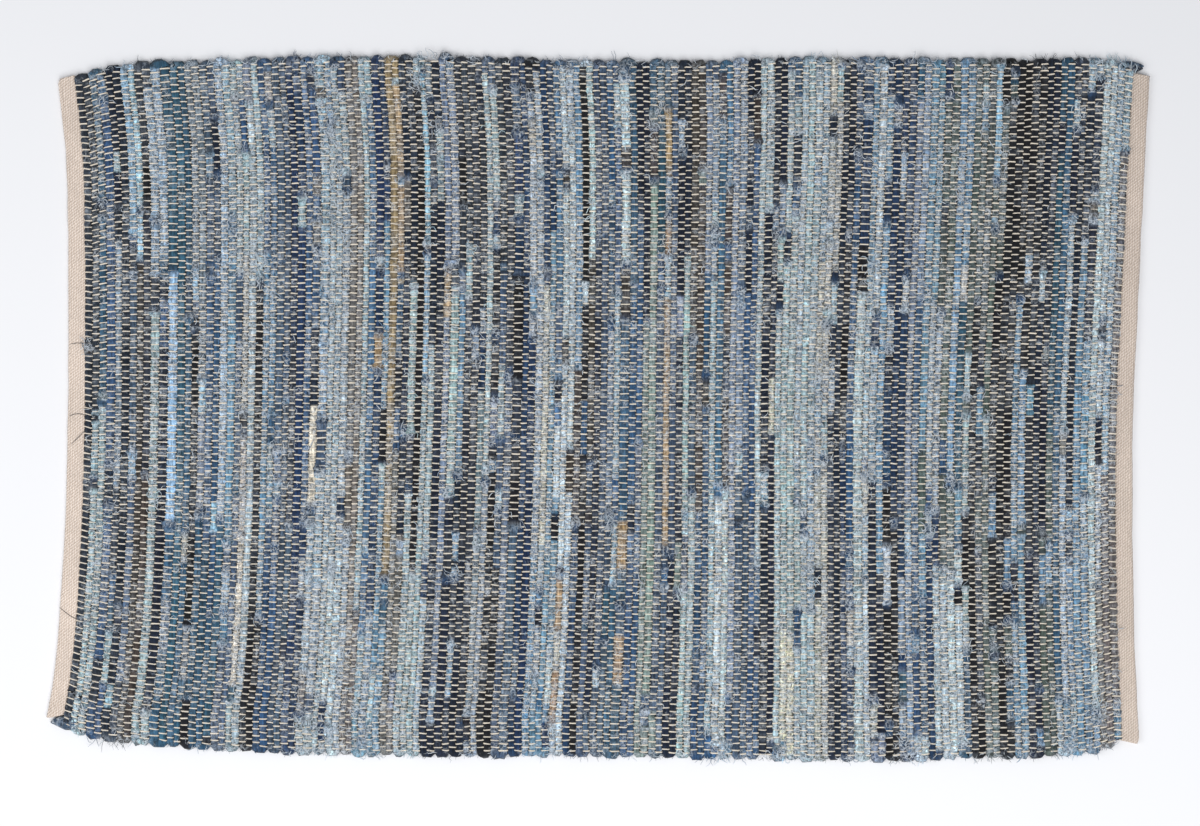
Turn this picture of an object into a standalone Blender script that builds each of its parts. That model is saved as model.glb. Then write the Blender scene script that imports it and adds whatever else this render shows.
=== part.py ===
"""A hand-woven cotton rag rug, 0.60 by 0.92 m, lying flat.

Strips of old denim are the weft: each pass across the loom is one rib along Y, and the strip
turns round the outer warp at both selvedges. The warp runs along X, and its ends are folded
into a cotton tape at each end of the rug.
The origin is the middle of the footprint on the floor, +X along the rug, +Y across it, +Z up.
"""
import math

import bmesh
import bpy
import numpy as np

MM = 0.001

# Driving sizes, in metres
RIB_COUNT = 148             # passes of rag between the two tapes
RIB_TOP = 7.6 * MM          # height of a rib's back above the floor
RIB_VALLEY = 5.2 * MM       # height of the groove between two ribs
RIB_LUMPS = 0.7 * MM        # how much a rib's height varies along it
RIB_SWAY = 1.6 * MM         # how far the ribs wander sideways
HALF_LENGTH = 450.0 * MM    # about half the rag field's length
SELVEDGE_HEIGHT = 4.0 * MM  # height of the turned rags' outermost point
SELVEDGE_BULGE = 3.0 * MM   # how far each turned rag swells past the valley beside it
SELVEDGE_UNDERCUT = 2.2 * MM
TAPE_THICKNESS = 1.0 * MM
TAPE_HEIGHT = 4.6 * MM      # over both layers of the folded tape
TAPE_FLAP = 14.5 * MM       # width of tape seen from above
WARP_LAYER = 2.0 * MM       # thickness of the bare warp ends inside the tape
GAP = 0.3 * MM              # between neighbouring pieces
WARP_INSET = 6.0 * MM       # the warp layer stops this far inside the tapes' cut ends
SAME_HEIGHT = 0.01 * MM     # points nearer than this in height lie on one level

FOLD_STEPS = 6              # facets round the tape's fold
CREASE_ANGLE = math.radians(40.0)

# The two edges of a rib's back, as shares of its width.
RIB_BACK = (0.27, 0.73)
# Uneven rib widths: two waves of (share of the width, turn per rib, start).
WIDTH_WAVES = ((0.26, 2.1, 0.0), (0.20, 0.77, 1.0))
# Uneven rib heights: two waves of (share of RIB_LUMPS, turn per rib, turn per station).
LUMP_WAVES = ((0.6, 1.9, 2.3), (0.4, 0.61, -1.7))
# Sideways wander of the ribs: turn along the rug, turn across it, start.
SWAY_WAVE = (9.0, 5.3, 1.1)

# Outlines in millimetres, as uneven as the real rug lies.
# Fold of each tape: place across the rug (y), place along the rug (x).
LEFT_FOLD = (
    (-262.0, -468.1), (-235.0, -463.3), (-193.0, -458.5), (-129.0, -454.0), (-65.0, -451.3),
    (20.0, -449.6), (120.0, -449.6), (190.0, -450.6), (230.0, -453.0), (281.0, -459.0),
)
RIGHT_FOLD = (
    (-284.0, 458.6), (-235.0, 456.5), (-193.0, 454.5), (-108.0, 453.0), (-23.0, 453.2),
    (30.0, 454.8), (104.0, 458.4), (189.0, 462.4), (253.0, 466.0), (284.0, 467.6),
)
# Selvedges: place along the rug (x), place across the rug (y).
FAR_SELVEDGE = (
    (-444.0, 281.0), (-426.0, 288.0), (-381.0, 292.0), (-317.0, 295.0), (-254.0, 297.5),
    (-169.0, 299.0), (-84.0, 296.5), (1.0, 294.0), (86.0, 294.0), (171.0, 297.5),
    (256.0, 295.8), (341.0, 295.5), (384.0, 296.5), (426.0, 295.0), (454.0, 290.0),
)
NEAR_SELVEDGE = (
    (-454.0, -270.0), (-440.0, -275.0), (-423.0, -279.5), (-381.0, -284.5), (-339.0, -288.5),
    (-254.0, -292.5), (-169.0, -295.0), (1.0, -295.5), (86.0, -297.3), (235.0, -299.2),
    (341.0, -296.5), (405.0, -295.0), (426.0, -292.5), (445.0, -286.0),
)
# Where each tape's cut ends lie, y of the near end and of the far end.
LEFT_TAPE_ENDS = (-261.5, 280.5)
RIGHT_TAPE_ENDS = (-283.5, 283.0)

# Shares of the width at which the ribs' sections are taken, from the near selvedge to the far one.
STATIONS = (0.0, 0.010, 0.17, 0.34, 0.50, 0.66, 0.83, 0.990, 1.0)

DENIM = (0.105, 0.175, 0.290, 1.0)
DENIM_ROUGHNESS = 0.92
NATURAL_COTTON = (0.640, 0.510, 0.400, 1.0)
COTTON_ROUGHNESS = 0.88


def clear_scene():
    for thing in list(bpy.data.objects):
        bpy.data.objects.remove(thing, do_unlink=True)


def cloth_material(name, colour, roughness):
    material = bpy.data.materials.new(name)
    material.use_nodes = True
    shader = material.node_tree.nodes["Principled BSDF"]
    shader.inputs["Base Color"].default_value = colour
    shader.inputs["Roughness"].default_value = roughness
    shader.inputs["Metallic"].default_value = 0.0
    material.diffuse_color = colour
    return material


def through(table, at):
    """Smooth curve through a table of (where, value) rows in millimetres, read at one place
    in metres, as a cubic piece between two rows whose slopes are those of their neighbours."""
    where = [row[0] * MM for row in table]
    value = [row[1] * MM for row in table]
    last = len(table) - 1
    at = min(max(at, where[0]), where[last])
    k = min(max(int(np.searchsorted(where, at)) - 1, 0), last - 1)
    span = where[k + 1] - where[k]
    share = (at - where[k]) / span

    def slope(n):
        low = max(n - 1, 0)
        high = min(n + 1, last)
        return (value[high] - value[low]) / (where[high] - where[low])

    rise = value[k + 1] - value[k]
    start = slope(k) * span
    end = slope(k + 1) * span
    return (
        value[k]
        + start * share
        + (3 * rise - 2 * start - end) * share ** 2
        + (start + end - 2 * rise) * share ** 3
    )


def rib_edges():
    """Shares along the rug, from 0 to 1, at which one rib ends and the next begins."""
    widths = [
        1.0 + sum(size * math.sin(turn * k + start) for size, turn, start in WIDTH_WAVES)
        for k in range(RIB_COUNT)
    ]
    total = sum(widths)
    edges = [0.0]
    for width in widths:
        edges.append(edges[-1] + width / total)
    return edges


def on_panel(along, across):
    """The place on the floor of a point of the rag field, from its shares along and across."""
    rough_x = HALF_LENGTH * (2.0 * along - 1.0)
    near = through(NEAR_SELVEDGE, rough_x)
    far = through(FAR_SELVEDGE, rough_x)
    y = near + (far - near) * across
    left = through(LEFT_FOLD, y) + TAPE_FLAP + GAP
    right = through(RIGHT_FOLD, y) - TAPE_FLAP - GAP
    turn_along, turn_across, start = SWAY_WAVE
    wave = math.sin(turn_along * along + turn_across * across + start)
    sway = RIB_SWAY * math.sin(math.pi * along) * wave
    return left + (right - left) * along + sway, y


def end_stations(along, ends, inset=0.0):
    """Points (x, y) down the straight-sided wall at one end of the rag field: one at each of
    the tape's cut ends, moved inwards by the inset, and one at each station between them."""
    wall = [on_panel(along, across) for across in STATIONS]
    near = ends[0] * MM + inset
    far = ends[1] * MM - inset
    stops = [near, *(y for _, y in wall if near < y < far), far]
    heights = [y for _, y in wall]
    places = [x for x, _ in wall]
    return [(float(np.interp(y, heights, places)), y) for y in stops]


def rib_columns():
    """Grid columns of the rag field: (share along, rib number, kind), three to a rib."""
    columns = []
    edges = rib_edges()
    for k in range(RIB_COUNT):
        width = edges[k + 1] - edges[k]
        columns.append((edges[k], k, "valley"))
        for share in RIB_BACK:
            columns.append((edges[k] + share * width, k, "back"))
    columns.append((1.0, RIB_COUNT - 1, "valley"))
    return columns


def turn_bulge(rib, along, edges, far_side):
    """How far the rag swells outwards where it turns. It turns round ribs 2k and 2k+1 on the
    far side, and round 2k+1 and 2k+2 on the near side."""
    first = rib - rib % 2 if far_side else rib - (rib + 1) % 2
    low = edges[max(first, 0)]
    high = edges[min(first + 2, RIB_COUNT)]
    share = (along - low) / (high - low)
    return SELVEDGE_BULGE * math.sqrt(max(0.0, 1.0 - (2.0 * share - 1.0) ** 2))


def placed_grid(name, columns, rows, place):
    """A mesh grid whose point in column i and row j is moved to place(i, j)."""
    mesh = bpy.data.meshes.new(name)
    work = bmesh.new()
    bmesh.ops.create_grid(work, x_segments=columns - 1, y_segments=rows - 1, size=0.5)
    for point in work.verts:
        i = round((point.co.x + 0.5) * (columns - 1))
        j = round((point.co.y + 0.5) * (rows - 1))
        point.co = place(i, j)
    work.to_mesh(mesh)
    work.free()
    return mesh


def add_object(name, mesh, material, collection):
    thing = bpy.data.objects.new(name, mesh)
    mesh.materials.append(material)
    collection.objects.link(thing)
    return thing


def rag_field_mesh():
    """The ribbed slab of rags: a grid with three columns to a rib, its rim turned down to a flat
    underside on the floor."""
    columns = rib_columns()
    edges = rib_edges()
    last_row = len(STATIONS) - 1

    def place(i, j):
        along, rib, kind = columns[i]
        x, y = on_panel(along, STATIONS[j])
        if j in (0, last_row):
            side = 1.0 if j else -1.0
            y += side * turn_bulge(rib, along, edges, far_side=bool(j))
            return x, y, SELVEDGE_HEIGHT
        if kind == "valley":
            return x, y, RIB_VALLEY
        lump = sum(size * math.sin(by_rib * rib + by_row * j) for size, by_rib, by_row in LUMP_WAVES)
        return x, y, RIB_TOP + RIB_LUMPS * lump

    mesh = placed_grid("rag_field", len(columns), len(STATIONS), place)
    work = bmesh.new()
    work.from_mesh(mesh)
    rim = [edge for edge in work.edges if edge.is_boundary]
    turned = bmesh.ops.extrude_edge_only(work, edges=rim)["geom"]
    for point in (part for part in turned if isinstance(part, bmesh.types.BMVert)):
        if abs(point.co.z - SELVEDGE_HEIGHT) < SAME_HEIGHT:
            point.co.y -= math.copysign(SELVEDGE_UNDERCUT, point.co.y)
        point.co.z = 0.0
    underside = [edge for edge in work.edges if edge.is_boundary]
    bmesh.ops.contextual_create(work, geom=underside)
    bmesh.ops.recalc_face_normals(work, faces=work.faces[:])
    work.to_mesh(mesh)
    work.free()
    return mesh


def warp_layer_mesh():
    """The sheet of warp ends that runs through the rags and out into both tapes."""
    reach = TAPE_FLAP - TAPE_HEIGHT / 2
    left = end_stations(0.0, LEFT_TAPE_ENDS, WARP_INSET)
    right = end_stations(1.0, RIGHT_TAPE_ENDS, WARP_INSET)

    def place(i, j):
        x, y = right[j] if i else left[j]
        return x + reach if i else x - reach, y, TAPE_HEIGHT / 2

    mesh = placed_grid("warp_layer", 2, len(left), place)
    work = bmesh.new()
    work.from_mesh(mesh)
    layer = bmesh.ops.extrude_face_region(work, geom=work.faces[:])["geom"]
    raised = {part for part in layer if isinstance(part, bmesh.types.BMVert)}
    for point in work.verts:
        point.co.z += WARP_LAYER / 2 if point in raised else -WARP_LAYER / 2
    bmesh.ops.recalc_face_normals(work, faces=work.faces[:])
    work.to_mesh(mesh)
    work.free()
    return mesh


def rag_panel(collection, tools, material):
    """The woven panel: the rag field with the warp layer joined into it."""
    panel = add_object("rag_panel", rag_field_mesh(), material, collection)
    warp = add_object("warp_layer", warp_layer_mesh(), material, tools)
    warp.hide_render = True
    warp.display_type = "WIRE"
    join = panel.modifiers.new("warp ends", "BOOLEAN")
    join.operation = "UNION"
    join.solver = "EXACT"
    join.object = warp
    return panel


def end_tape(name, along, ends, outward, collection, material):
    """Cotton tape folded in half over the warp ends: a U that lies on its side, open to the rags."""
    stations = end_stations(along, ends)
    half = TAPE_THICKNESS / 2
    radius = TAPE_HEIGHT / 2 - half
    middle = (TAPE_FLAP + radius) / 2
    top = TAPE_HEIGHT - half
    section = [(TAPE_FLAP, top), (middle, top)]
    for step in range(FOLD_STEPS + 1):
        turn = math.pi * step / FOLD_STEPS
        depth = radius + half - radius * math.sin(turn)
        section.append((depth, TAPE_HEIGHT / 2 + radius * math.cos(turn)))
    section += [(middle, half), (TAPE_FLAP, half)]

    def place(i, j):
        x, y = stations[j]
        depth, z = section[i]
        return x + outward * (GAP + TAPE_FLAP - depth), y, z

    mesh = placed_grid(name, len(section), len(stations), place)
    tape = add_object(name, mesh, material, collection)
    wall = tape.modifiers.new("cloth", "SOLIDIFY")
    wall.thickness = TAPE_THICKNESS
    wall.offset = 0.0
    wall.use_even_offset = True
    mesh.shade_smooth()
    mesh.set_sharp_from_angle(angle=CREASE_ANGLE)
    return tape


def main():
    clear_scene()
    rug = bpy.data.collections.new("cotton_rag_rug")
    tools = bpy.data.collections.new("rug_tools")
    bpy.context.scene.collection.children.link(rug)
    bpy.context.scene.collection.children.link(tools)
    denim = cloth_material("denim_rags", DENIM, DENIM_ROUGHNESS)
    cotton = cloth_material("natural_cotton_tape", NATURAL_COTTON, COTTON_ROUGHNESS)
    rag_panel(rug, tools, denim)
    end_tape("tape_left", 0.0, LEFT_TAPE_ENDS, -1.0, rug, cotton)
    end_tape("tape_right", 1.0, RIGHT_TAPE_ENDS, 1.0, rug, cotton)


main()
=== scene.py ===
"""Looks of a hand-woven denim rag rug with cotton tape over its ends.

Every size is in metres and in the rug's own frame: the middle of its footprint on the floor,
+X along the rug, +Y across it, +Z up.
"""

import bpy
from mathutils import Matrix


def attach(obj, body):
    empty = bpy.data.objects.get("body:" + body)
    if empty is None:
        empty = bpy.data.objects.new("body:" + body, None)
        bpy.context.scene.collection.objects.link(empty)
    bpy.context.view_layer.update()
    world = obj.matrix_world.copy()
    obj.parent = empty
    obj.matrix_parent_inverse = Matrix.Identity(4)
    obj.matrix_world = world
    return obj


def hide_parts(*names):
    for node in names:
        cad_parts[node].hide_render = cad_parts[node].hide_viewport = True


bl_info = {
    "name": "Denim rag rug",
    "version": (1, 0, 0),
    "blender": (4, 5, 0),
    "location": "3D View > Sidebar > Rag rug",
    "description": "Weaves a denim rag rug: rag weft, cotton warp, end tapes and loose threads",
    "category": "Object",
}

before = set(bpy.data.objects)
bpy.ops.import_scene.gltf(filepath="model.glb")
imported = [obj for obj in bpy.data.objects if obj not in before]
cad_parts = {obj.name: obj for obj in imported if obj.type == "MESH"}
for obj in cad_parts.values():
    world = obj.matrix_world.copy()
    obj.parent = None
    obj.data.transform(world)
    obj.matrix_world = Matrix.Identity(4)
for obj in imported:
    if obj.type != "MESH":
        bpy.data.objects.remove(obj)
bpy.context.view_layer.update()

import math

import bpy
import numpy as np
from mathutils import Vector

MM = 0.001

# The weave
PASSES = 148
WARPS = 200
RINGS_A_PITCH = 3  # rings of a rag from one pinch under a warp to the next
TURN_RINGS = 5
WARP_EDGE = 5 * MM  # from the selvedge to the outermost warp
RUG_WIDTH = 590 * MM
RAG_MIDDLE = 4 * MM  # height of the weave's middle plane
RAG_LIFT = 0.65 * MM  # how far a rag rises over a warp and dips under one
RAG_UP = 2.70 * MM  # half height of a rag's pillow
PINCH_UP = 2.30 * MM  # half height of a rag under a warp
PILLOW_WIDTH = 1.24  # a pillow's width against its pass's
PINCH_WIDTH = 0.92  # the same under a warp
TURN_WIDTH = 1.20  # the same in a turn
TURN_DROP = 0.8 * MM  # how far a turn lies below the weave's middle
WIDE_RAG = 1.25  # its width against a common one's
UNEVEN_RAG = 0.14  # how far the common widths differ
HALF_LENGTH = 450 * MM
SWAY = 1.6 * MM  # how far passes wander from their straight place
SWAY_WAVE = (9, 5.3, 1.1)  # the wander's angle: along the rug, across it and at the start

# Corners of a rag's section as (place to the right in half widths, height in half heights): a
# keel, the left side, a flat crown and the right side, clockwise as the rag runs away.
RAG_SECTION = np.array(((0, -1), (-1, -0.30), (-0.62, 1), (0.62, 1), (1, -0.30)))
# Share by which points are moved out or in: whole rag, frayed rag, and more in a turn.
CRUMPLE = (0.09, 0.22, 0.08)
RAG_FLOOR = 0.15 * MM  # lowest and highest place of a rag's points
RAG_CEILING = 8.2 * MM
MOTTLE = (0.06, 0.32)  # how uneven its points are in tone: whole, more where frayed
TURN_SWING = 1.2  # how wide a turn swings, against half the passes' distance
TURN_BULGE = (0.70, 1.35)  # how far it stands out, against the same
TURN_SQUARE = 0.5  # power that squares the half circle of a turn

# How uneven the weft is: a drift, the rings between its changes, each pillow's own share and a
# join's lump.
UNEVEN = {
    "fray": (0.26, 28, 0.12, 0.35),
    "tone": (0.12, 40, 0, 0),
    "quick tone": (0.12, 5, 0, 0),
    "back": (0.9, 11, 0.7, 0),
    "fullness": (0.08, 9, 0.10, 0.70),
    "height": (0.20 * MM, 5, 0.20 * MM, 0.55 * MM),
    "thickness": (0.08, 6, 0, 0.20),
    "place": (0.35 * MM, 8, 0.30 * MM, 0),
}
RAG_TILT = 0.16  # steepest slope of a pillow from side to side
RAG_CLEAR = 0.25 * MM  # how far a keel stays off the floor
OPEN_WHERE_FRAYED = 0.20  # how far a fully frayed rag covers the warp

# Corners of a yarn's or thread's section in the same order, with a ridge on top.
YARN_SECTION = np.array(((-0.87, -0.5), (0, 1), (0.87, -0.5)))
YARN_SQUASH = (1.1, 0.75, 1)  # a warp yarn's width, rise and depth against its radius
YARN_TONE = (0.84, 0.24, 0.06)  # a yarn's base tone, most added by ring and taken off by yarn
WARP_BEND = 0.14  # share of a pass at which a warp yarn bends down from it
WARP_STRAY = (0.40 * MM, 0.36 * MM, 0.15 * MM)  # how far it strays along, across and upright
WARP_TUCK = np.array((12, 3)) * MM  # its last two places out into a tape
WARP_STUB = np.array((0.8, 0.3)) * MM  # the same where there is no tape

GROUND_THICK = 0.6 * MM
GROUND_GRID = (60, 40)

# The loose threads
THREAD_TIP = 0.45  # a thread's thickness at its ends against its middle's
FRAYS = 6400
FRAY_RINGS = 5
FRAY_LENGTH = (3.5 * MM, 10 * MM)
FRAY_CEILING = 8.9 * MM
FRAY_SUNK = 0.15 * MM  # how far its root is in the rag's crown
FRAY_CURL = 0.75  # how far its heading turns from ring to ring, in radians
FRAY_ARCH = (0.3, 1.1)  # how high it stands up, in millimetres
FRAY_THICKNESS = (0.55, 0.95)
LOOSE_LIGHTER = 1.25  # how much lighter than its rag a loose thread is
SHORT_WHISKERS = 800
SHORT_LENGTH = (1, 4)  # millimetres, as the next two
WHISKER_HEIGHT = (-1.5, 2.5)  # from the turn's middle to a whisker's root
WHISKER_THICKNESS = (0.28, 0.45)
WHISKER_CURL, WHISKER_LEAN = 0.28, 0.6  # radians, from ring to ring and at the root
WHISKER_RINGS = 6
LOOSE_RINGS = 9
LOOSE_THICKNESS = 0.5 * MM
LOOSE_ARCH = 0.3 * MM  # how far its middle stands up
# Tufts: place along the rug, far (1) or near (-1) selvedge, threads, length (mm).
WHISKER_TUFTS = (
    (-381, 1, 9, 9), (-248, 1, 10, 8), (-228, 1, 10, 7), (-36, 1, 4, 10), (-15, 1, 6, 6),
    (20, 1, 4, 10), (192, 1, 10, 9), (243, 1, 7, 7), (380, 1, 10, 9), (415, 1, 8, 9),
    (448, 1, 26, 9), (-416, -1, 16, 12), (-200, -1, 6, 7), (-11, -1, 6, 7), (96, -1, 10, 10),
    (265, -1, 8, 7), (337, -1, 10, 8), (375, -1, 6, 6), (395, -1, 7, 7),
)
TAIL_RINGS = 9
TAIL_TAPER = 0.90  # share of its width that a rag end loses
TAIL_TILT = 0.2
# Rag ends at the corners: shade, width, then the places (x, y, z) on their way (mm).
RAG_TAILS = (
    ("slate", 13, (-443, -268, 3.4), (-450, -267, 3.6), (-458, -266, 3), (-465, -267, 2)),
    ("black", 6, (-438, -246, 4.6), (-443, -243, 5.4), (-447, -241, 5.6), (-450, -239, 5.2)),
    ("ink", 8, (447, 285, 4), (452, 287, 4.2), (457, 288, 4), (462, 288, 3)),
    ("slate", 7, (444, 290, 3.4), (451, 291, 3.6), (458, 290, 3.4), (463, 290, 2.6)),
)
# Loose threads: height, then the places (x, y) on their way (mm).
LOOSE_THREADS = (
    (5.1, (-434, 54), (-441, 55), (-448, 54)),
    (5.1, (-434, -6), (-442, -5), (-449, -7)),
    (5.1, (-435, -19), (-440, -24), (-447, -31)),
    (5.1, (-440, -180), (-448, -176), (-457, -169)),
    (8.1, (-147, 150), (-141, 156), (-135, 161)),
    (8.1, (-147, 136), (-137, 133), (-127, 125), (-111, 130)),
    (8.1, (-179, 201), (-175, 203), (-170, 208)),
)

# The tapes
TAPE_THICKNESS = MM
TAPE_HEIGHT = 4.6 * MM
TAPE_FLAP = 14.5 * MM
TAPE_SKEW = 3 * MM  # how far a cut end is off square
TAPE_END_FADE = 14 * MM  # length over which the twill's lean dies out at a cut end
TAPE_CORNER = 3 * MM  # how far its outer corner is rounded off
TWILL_ROW = 1.3 * MM
TWILL_SLANT = 1.95 * MM
TWILL_BUMP = 0.25 * MM
UNEVEN_BUMP = 0.35
FOLD_STRAY, EDGE_STRAY = 0.35 * MM, 0.3 * MM  # how far fold and free edge are off their line
TAPE_WAVE = 0.18 * MM  # how far its face goes up and down
# Fine twill in the finish: the angle of a row of bumps, then from a bump to the dip beside it,
# across the rows and along them.
TWILL_ANGLE = math.radians(63)
TWILL_ACROSS = 1.15 * MM
TWILL_ALONG = 2.3 * MM
TAPE_VALLEY_SHADE = (0.69, 0.64, 0.59)  # share of its colour that the tape keeps between bumps: painted shade in the twill's dips
GAP = 0.3 * MM  # from a tape's free edge to the first pass of rag

# The stage
FLOOR_REACH = 12
FLOOR_BELOW = 0.1 * MM  # keeps the floor clear of the faces that lie on it
FLOOR_COLOUR = (0.90, 0.90, 0.92, 1)
SKY_COLOUR = (0.93, 0.96, 1, 1)
SKY_STRENGTH = 0.38
# Soft square lamps that point at the middle of the rug: place, size and power in watts.
LAMPS = {
    "window_light": ((-1.8, -0.4, 1.6), 1.2, 18.9),
    "fill_light": ((0.4, -1, 1.8), 1.6, 28.8),
}
CAMERA_PLACE = (0.0013, -0.0043, 1.70)
LENS = 60
SENSOR_WIDTH = 36

# Outlines in millimetres: (y, x) of each tape's fold, then (x, y) of each selvedge.
LEFT_FOLD = np.array((
    (-262, -468.1), (-235, -463.3), (-193, -458.5), (-129, -454), (-65, -451.3),
    (20, -449.6), (120, -449.6), (190, -450.6), (230, -453), (281, -459),
)) * MM
RIGHT_FOLD = np.array((
    (-284, 458.6), (-235, 456.5), (-193, 454.5), (-108, 453), (-23, 453.2),
    (30, 454.8), (104, 458.4), (189, 462.4), (253, 466), (284, 467.6),
)) * MM
FAR_SELVEDGE = np.array((
    (-444, 281), (-426, 288), (-381, 292), (-317, 295), (-254, 297.5),
    (-169, 299), (-84, 296.5), (1, 294), (86, 294), (171, 297.5),
    (256, 295.8), (341, 295.5), (384, 296.5), (426, 295), (454, 290),
)) * MM
NEAR_SELVEDGE = np.array((
    (-454, -270), (-440, -275), (-423, -279.5), (-381, -284.5), (-339, -288.5),
    (-254, -292.5), (-169, -295), (1, -295.5), (86, -297.3), (235, -299.2),
    (341, -296.5), (405, -295), (426, -292.5), (445, -286),
)) * MM
LEFT_TAPE_ENDS = (-261.5 * MM, 280.5 * MM)
RIGHT_TAPE_ENDS = (-283.5 * MM, 283 * MM)

# The dyer's shades: sRGB colour as seen and how frayed a rag of it is.
SHADES = {
    "black": ((32, 34, 40), 0.08), "char": ((52, 59, 70), 0.16), "ink": ((34, 45, 62), 0.10),
    "navy": ((40, 63, 92), 0.14), "indigo": ((58, 88, 118), 0.26),
    "denim": ((78, 112, 139), 0.26), "teal": ((59, 91, 112), 0.18),
    "slate": ((74, 92, 112), 0.24), "stone": ((102, 137, 161), 0.46),
    "lilac": ((117, 133, 153), 0.50), "haze": ((143, 169, 185), 0.80),
    "sky": ((150, 186, 205), 0.36), "ice": ((185, 204, 211), 0.72),
    "mist": ((154, 176, 182), 0.60), "sage": ((125, 137, 136), 0.32),
    "moss": ((86, 97, 94), 0.26), "grey": ((115, 128, 139), 0.52),
    "silver": ((155, 170, 179), 0.90), "taupe": ((112, 107, 102), 0.36),
    "oat": ((176, 174, 162), 0.80), "brown": ((72, 66, 62), 0.24),
    "tan": ((161, 140, 109), 0.36), "cream": ((212, 206, 184), 0.60),
}
# A shade as woven: its linear light to a power, times a gain, up to the last value.
DYE_POWER = 1.20
DYE_GAIN = 1.34
DYE_LIGHTEST = 0.92
RAG_TINT = 0.06  # how far a rag's red, green and blue differ from its shade's
RAG_TONE = 0.16  # how far its brightness does
PILLOW_TONE = (0.12, 0.24)  # how far a pillow's does: whole rag, more where frayed
KNOT_SHADE = 0.25  # how much darker a join is
BACK_SHOWN = 0.7  # share that a frayed rag shows of its paler back
PALE_WEAR, BLUE_WEAR = 0.55, 0.60  # most that worn fibres cover of it
LUMP_COVER, LUMP_TONE = 0.95, (0.7, 0.6)  # of a dark lump: its cover, its least tone and more
GROOVE_SHADE = 0.34  # share of its colour that a rag keeps at its sides: painted shade in the grooves between rags

# The stripe order from left to right as a weaver notes it: shades, with how many passes of each
# where there are several.
STRIPES = (
    "2 char, teal, wide indigo, lilac, ink, slate, brown, char, wide mist, wide ink, wide sky, "
    "2 teal, black, grey, 2 indigo, haze, wide stone, slate, oat, mist, black, 2 stone, 2 slate, "
    "char, wide navy, indigo, ink, wide haze, 3 silver, 2 taupe, mist, denim, navy, stone, tan, "
    "indigo, ink, mist, black, 2 mist, ink, lilac, wide mist, stone, 2 char, grey, mist, black, "
    "2 slate, wide black, 2 navy, silver, oat, stone, denim, 2 ice, brown, black, brown, ink, "
    "slate, lilac, haze, wide teal, 2 indigo, 2 sage, slate, tan, slate, ink, mist, slate, brown, "
    "indigo, haze, denim, brown, 2 lilac, 2 indigo, mist, 2 ink, 5 mist, wide haze, 2 oat, 2 ink, "
    "black, indigo, wide ice, 2 haze, stone, 3 navy, lilac, indigo, stone, 2 silver, moss, stone, "
    "wide teal, mist, black, char, 2 moss, 2 black, 2 stone, char, 2 ink, 2 teal, haze, ink, "
    "2 stone, ice, ink, haze, taupe"
)

# Rags that stand out: shade, place along the rug, from and to across it (mm), passes.
NOTED_RAGS = (
    ("haze", -374, 130, 290, 2), ("sky", -364, -78, 100, 1), ("mist", -432, -292, 0, 2),
    ("cream", -305, -248, -129, 1), ("cream", -245, -95, -10, 1), ("ice", -232, -292, -130, 2),
    ("silver", -218, -130, 240, 3), ("tan", -176, -78, 100, 1), ("sky", -143, 37, 292, 1),
    ("ink", -103, 257, 281, 1), ("tan", -38, -270, -142, 1), ("ice", -36, -70, -10, 1),
    ("ice", -27, -2, 292, 2), ("black", -12, -292, 292, 1), ("ice", 22, 75, 292, 1),
    ("tan", 55, -112, -27, 1), ("tan", 58, 20, 236, 1), ("ice", 98, -292, -70, 2),
    ("cream", 144, -27, 24, 1), ("cream", 158, -292, -189, 2), ("mist", 172, -20, 292, 5),
    ("ice", 236, 60, 292, 1), ("moss", 271, -112, -44, 1), ("ice", 292, -292, -130, 4),
    ("oat", 310, 77, 105, 1), ("black", 339, -200, 135, 3), ("sky", 341, 150, 292, 1),
    ("ice", 415, -163, -61, 2), ("ice", 422, -19, 49, 1),
)

# Where one rag is joined to the next
JOIN_ROWS = (0.33, 0.67)  # shares of a pass at which the joins gather
JOIN_SPREAD = 0.05
JOIN_WANDER, JOIN_WAVE = 0.04, 0.09  # a row's slow wave: a share of a pass, radians a pass
JOIN_HALVES = ((0.01, 0.48), (0.52, 0.99))  # shares between which each of two joins stays
JOIN_CLEAR = 0.02  # how far inside them the joins that don't gather are
JOIN_MIX = 0.012  # share of a pass over which joined rags lie mixed
RAGGED_ENDS = 14 * MM  # how far a noted group's ends are off one line
PATCHES = 340  # short stretches where another rag shows through
PATCH_RINGS = (3, 26)  # their length, in rings of the rag's tube
IN_A_ROW = 0.6  # share of the joins that gather there
SAME_ROUND_TURN = 0.42  # share of turns that the last pass's rag makes
NEXT_ROUND_TURN = 0.66  # the same, with the next pass's rag added
NEARBY = 8  # passes within which an odd rag finds its shade
KNOT_FALL = (1, 0.85, 0.45, 0.15)  # a join's lump, ring by ring outwards
DARK_LUMPS = 0.45  # share of the joins with a dark blue lump

# Curly lines in the finish of worn denim: noises as (scale, shift, line thickness), then the
# levels of fray between which they come in and their strength at both.
# The crease lines darken the cloth along them: painted shade. The blue and pale lines are fibres.
SHADED_CREASES = ((230, (3, 1, 0), 0.06),), (0.45, 0.90, 0.15, 0.7)
BLUE_LINES = ((210, (0, 5, 2), 0.06),), (0.75, 1.00, 0, 0.6)
PALE_LINES = ((190, (0, 0, 0), 0.055), (270, (7, 2, 4), 0.06)), (0.60, 0.95, 0, 0.9)


def linear(shade):
    """Linear light of an sRGB colour given in steps of 255."""
    value = np.asarray(shade, dtype=float) / 255
    return np.where(value <= 0.04045, value / 12.92, ((value + 0.055) / 1.055) ** 2.4)


def dyed(name):
    """Linear light of a shade as woven, with more contrast than as seen."""
    return np.minimum(DYE_GAIN * linear(SHADES[name][0]) ** DYE_POWER, DYE_LIGHTEST)


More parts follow.
